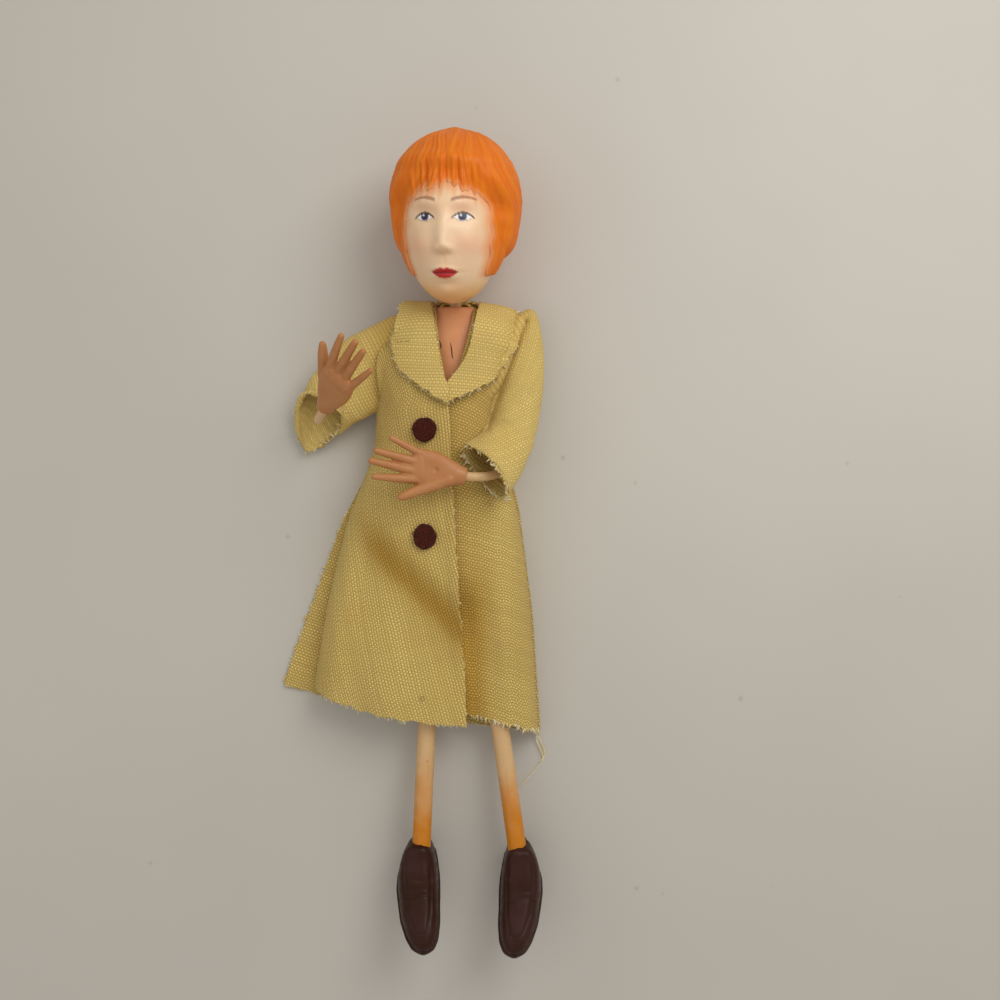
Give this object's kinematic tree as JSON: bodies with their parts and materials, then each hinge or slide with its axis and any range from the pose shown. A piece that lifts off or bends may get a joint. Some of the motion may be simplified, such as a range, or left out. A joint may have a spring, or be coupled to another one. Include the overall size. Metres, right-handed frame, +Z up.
{
  "type": "miniature bendable doll",
  "caption": "Miniature bendable lady doll with a moulded head and hands, tube limbs over wire, loafers and a frayed woven coat, lying on its back.",
  "frame": {"origin": "middle of the bounding box at table height, under the doll lying on its back", "axes": "+Y from the feet to the crown, +X to the doll's left, +Z up out of the chest"},
  "size_m": [0.0472, 0.1388, 0.0291],
  "materials": {
    "hair_plastic": "satin moulded hair",
    "face_plastic": "satin, painted features",
    "trunk_plastic": "satin",
    "hand_plastic": "satin",
    "tube_plastic": "satin, yellowed towards the shoes",
    "shoe_plastic": "satin",
    "coat_cloth": "plain weave with frayed edges",
    "button_felt": "felt",
    "wire": "drawn wire"
  },
  "bodies": {
    "trunk": {"trunk_front": "trunk_plastic", "trunk_back": "trunk_plastic", "neck_tube": "tube_plastic", "shoulder_wire": "wire", "coat_back": "coat_cloth", "coat_front_right": "coat_cloth", "coat_front_left": "coat_cloth", "collar": "coat_cloth", "button_upper": "button_felt", "button_lower": "button_felt"},
    "head": {"head_front": "face_plastic", "head_back": "hair_plastic"},
    "upper_arm_right": {"upper_arm_right": "tube_plastic", "sleeve_right": "coat_cloth"},
    "forearm_right": {"forearm_right": "tube_plastic"},
    "hand_right": {"hand_right": "hand_plastic"},
    "thigh_right": {"thigh_tube_right": "tube_plastic", "thigh_wire_right": "wire"},
    "shin_right": {"shin_tube_right": "tube_plastic", "shin_wire_right": "wire"},
    "shoe_right": {"shoe_right": "shoe_plastic"},
    "upper_arm_left": {"upper_arm_left": "tube_plastic", "sleeve_left": "coat_cloth"},
    "forearm_left": {"forearm_left": "tube_plastic"},
    "hand_left": {"hand_left": "hand_plastic"},
    "thigh_left": {"thigh_tube_left": "tube_plastic", "thigh_wire_left": "wire"},
    "shin_left": {"shin_tube_left": "tube_plastic", "shin_wire_left": "wire"},
    "shoe_left": {"shoe_left": "shoe_plastic"}
  },
  "joints": [
    {"name": "head_turn", "type": "hinge", "parent": "trunk", "child": "head", "pos_m": [0.0066, 0.04548, 0.00682], "axis": [0, 1, 0], "range_deg": [-45, 45]},
    {"name": "shoulder_right", "type": "hinge", "parent": "trunk", "child": "upper_arm_right", "pos_m": [-0.00145, 0.03688, 0.00642], "axis": [-1, 0, 0], "range_deg": [-2, 28], "deforming": ["sleeve_right", "collar"]},
    {"name": "elbow_right", "type": "hinge", "parent": "upper_arm_right", "child": "forearm_right", "pos_m": [-0.01731, 0.02271, 0.00409], "axis": [-0.6616, 0.694, 0.284], "range_deg": [-45, 15], "deforming": ["sleeve_right"]},
    {"name": "hand_turn_right", "type": "hinge", "parent": "forearm_right", "child": "hand_right", "pos_m": [-0.01411, 0.02285, 0.01811], "axis": [0.3999, 0.5199, 0.7548], "range_deg": [-40, 40]},
    {"name": "shoulder_left", "type": "hinge", "parent": "trunk", "child": "upper_arm_left", "pos_m": [0.01465, 0.03688, 0.00642], "axis": [-1, 0, 0], "range_deg": [0, 15], "deforming": ["sleeve_left", "collar"]},
    {"name": "elbow_left", "type": "hinge", "parent": "upper_arm_left", "child": "forearm_left", "pos_m": [0.01802, 0.01586, 0.0086], "axis": [-0.7926, -0.1873, -0.5803], "range_deg": [-20, 10], "deforming": ["sleeve_left"]},
    {"name": "hand_turn_left", "type": "hinge", "parent": "forearm_left", "child": "hand_left", "pos_m": [0.00809, 0.01144, 0.01625], "axis": [-0.9744, 0.2009, 0.1005], "range_deg": [-10, 20]},
    {"name": "hip_right", "type": "hinge", "parent": "trunk", "child": "thigh_right", "pos_m": [0.0032, -0.00262, 0.00642], "axis": [-1, 0, 0], "range_deg": [0, 20], "deforming": ["coat_front_right"]},
    {"name": "knee_right", "type": "hinge", "parent": "thigh_right", "child": "shin_right", "pos_m": [0.0013, -0.03592, 0.00473], "axis": [1, 0, 0], "range_deg": [-30, 90]},
    {"name": "shoe_turn_right", "type": "hinge", "parent": "shin_right", "child": "shoe_right", "pos_m": [0.0007, -0.05284, 0.00713], "axis": [-0.0352, -0.9894, 0.1406], "range_deg": [-15, 40]},
    {"name": "hip_left", "type": "hinge", "parent": "trunk", "child": "thigh_left", "pos_m": [0.01, -0.00262, 0.00642], "axis": [-1, 0, 0], "range_deg": [0, 10], "deforming": ["coat_front_left"]},
    {"name": "knee_left", "type": "hinge", "parent": "thigh_left", "child": "shin_left", "pos_m": [0.01482, -0.03563, 0.00474], "axis": [1, 0, 0], "range_deg": [-30, 90]},
    {"name": "shoe_turn_left", "type": "hinge", "parent": "shin_left", "child": "shoe_left", "pos_m": [0.01737, -0.05339, 0.00708], "axis": [0.1409, -0.9816, 0.1288], "range_deg": [-40, 15]}
  ]
}
